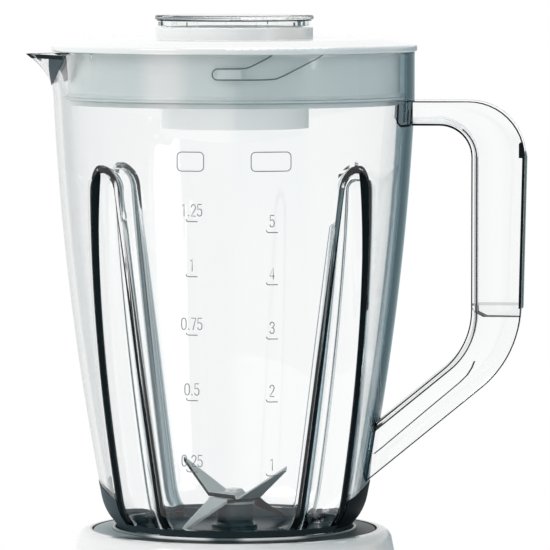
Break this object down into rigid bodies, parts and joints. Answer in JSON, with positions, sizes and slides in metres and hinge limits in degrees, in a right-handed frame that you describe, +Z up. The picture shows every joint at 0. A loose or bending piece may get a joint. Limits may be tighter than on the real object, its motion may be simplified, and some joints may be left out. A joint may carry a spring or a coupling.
{
  "type": "countertop blender",
  "caption": "Countertop blender: fluted clear jug with spout, handle, white lid and measuring cap, crossed steel blades and a flared white motor base with a rotary switch.",
  "frame": {"origin": "on the jug's axis, in the plane of the table that the foot ring rests on", "axes": "+Z up the jug's axis, +X towards the handle, -Y towards the switch"},
  "size_m": [0.1968, 0.178, 0.3345],
  "materials": {
    "white_plastic": "glossy white moulding",
    "clear_plastic": "clear moulded plastic",
    "grey_plastic": "dark grey glossy plastic",
    "smoke_plastic": "smoke grey plastic",
    "black_plastic": "matt black plastic",
    "plate_plastic": "fine textured grey plastic",
    "rubber": "matt",
    "clear_seal": "translucent silicone",
    "steel": "satin ground steel",
    "lamination": "stacked dark sheet",
    "copper": "enamelled copper wire",
    "bronze": "sintered bronze",
    "aluminium": "die cast",
    "carbon": "pressed carbon"
  },
  "bodies": {
    "base": {"base_housing": "white_plastic", "base_plate": "plate_plastic", "foot_ring": "rubber", "base_screws": "steel", "cord_bushing": "rubber", "seat_cushion": "rubber", "deck_seal": "rubber", "knob_bezel": "smoke_plastic", "rotary_switch": "black_plastic", "switch_nut": "steel", "motor_dampers": "rubber", "bracket_screws": "steel", "upper_bracket": "aluminium", "lower_bracket": "aluminium", "upper_bearing": "steel", "lower_bearing": "steel", "motor_bolts": "steel", "stator_core": "lamination", "field_coils": "copper", "brush_holders": "bronze", "carbon_brushes": "carbon"},
    "rotor": {"motor_shaft": "steel", "rotor_core": "lamination", "rotor_windings": "copper", "commutator": "copper", "cooling_fan": "black_plastic", "drive_coupling": "black_plastic"},
    "knob": {"switch_shaft": "steel", "control_knob": "white_plastic"},
    "jug": {"jug": "clear_plastic", "handle_cover": "clear_plastic", "jug_collar": "grey_plastic", "blade_holder": "smoke_plastic", "holder_seal": "rubber", "upper_bush": "bronze", "lower_bush": "bronze", "shaft_seal": "rubber"},
    "blades": {"blade_shaft": "steel", "driven_coupling": "black_plastic", "blade_washer": "steel", "lower_blade": "steel", "upper_blade": "steel", "blade_rivet": "steel"},
    "lid": {"lid": "white_plastic", "lid_seal": "clear_seal"},
    "cap": {"measuring_cap": "clear_plastic"}
  },
  "joints": [
    {"name": "jug_lift", "type": "slide", "parent": "base", "child": "jug", "axis": [0, 0, 1], "range_m": [0, 0.08]},
    {"name": "lid_lift", "type": "slide", "parent": "jug", "child": "lid", "axis": [0, 0, 1], "range_m": [0, 0.06]},
    {"name": "cap_lift", "type": "slide", "parent": "lid", "child": "cap", "axis": [0, 0, 1], "range_m": [0, 0.05]},
    {"name": "motor_spin", "type": "hinge", "parent": "base", "child": "rotor", "pos_m": [0, 0, 0.06], "axis": [0, 0, 1], "continuous": true},
    {"name": "blade_spin", "type": "hinge", "parent": "jug", "child": "blades", "pos_m": [0, 0, 0.132], "axis": [0, 0, 1], "continuous": true},
    {"name": "knob_turn", "type": "hinge", "parent": "base", "child": "knob", "pos_m": [0, -0.07347, 0.064], "axis": [0, -0.9881, 0.1536], "range_deg": [-80, 40]}
  ],
  "couplings": [
    {"joint": "blade_spin", "follows": "motor_spin", "ratio": 1}
  ]
}
